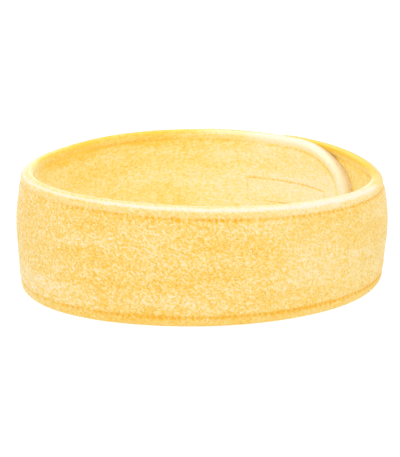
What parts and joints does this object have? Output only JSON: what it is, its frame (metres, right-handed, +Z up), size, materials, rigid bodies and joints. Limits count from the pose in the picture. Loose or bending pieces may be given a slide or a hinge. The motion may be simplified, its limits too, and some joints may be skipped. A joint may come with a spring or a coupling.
{
  "type": "spa headband",
  "caption": "Wide soft terry headband: a padded-looking double-layer strap with topstitched rolled edges, closed into a ring by hook-and-loop tape at its round ends.",
  "frame": {"origin": "middle of the ring's footprint box, on the surface that its lower edge stands on", "axes": "+Z up, along the width of the strap; -Y is the front of the ring, opposite the closure's side; +X is the wearer-side right of the picture, so the closure is at +X +Y"},
  "size_m": [0.1934, 0.193, 0.0619],
  "materials": {
    "outer_terry": "butter-yellow looped terry, matte, granular pile about 1.5 mm",
    "inner_terry": "same yellow terry, flatter and smoother on the side that lies on the head",
    "thread": "matching sewing thread, slight sheen",
    "hook_tape": "woven tape with stiff moulded hooks, pale yellow",
    "loop_tape": "woven tape with soft brushed loops, pale yellow"
  },
  "bodies": {
    "front": {"outer_panel_front": "outer_terry", "inner_panel_front": "inner_terry", "outer_topstitch_upper_front": "thread", "outer_topstitch_lower_front": "thread", "inner_topstitch_upper_front": "thread", "inner_topstitch_lower_front": "thread"},
    "right_side": {"outer_panel_right_side": "outer_terry", "inner_panel_right_side": "inner_terry", "outer_topstitch_upper_right_side": "thread", "outer_topstitch_lower_right_side": "thread", "inner_topstitch_upper_right_side": "thread", "inner_topstitch_lower_right_side": "thread"},
    "outer_end": {"outer_panel_outer_end": "outer_terry", "inner_panel_outer_end": "inner_terry", "outer_topstitch_outer_end": "thread", "inner_topstitch_outer_end": "thread", "loop_tape": "loop_tape", "loop_tape_stitching": "thread"},
    "hook_end": {"outer_panel_hook_end": "outer_terry", "inner_panel_hook_end": "inner_terry", "outer_topstitch_hook_end": "thread", "inner_topstitch_hook_end": "thread", "hook_tape": "hook_tape", "hook_tape_stitching": "thread"}
  },
  "joints": [
    {"name": "right_side_opens", "type": "hinge", "parent": "front", "child": "right_side", "pos_m": [0.08032, -0.05377, 0], "axis": [0, 0, -1], "range_deg": [0, 75]},
    {"name": "outer_end_peel", "type": "hinge", "parent": "right_side", "child": "outer_end", "pos_m": [0.09294, 0.02588, 0], "axis": [0, 0, -1], "range_deg": [0, 90]},
    {"name": "hook_end_peel", "type": "hinge", "parent": "front", "child": "hook_end", "pos_m": [-0.01054, 0.08124, 0], "axis": [0, 0, -1], "range_deg": [0, 50]}
  ]
}
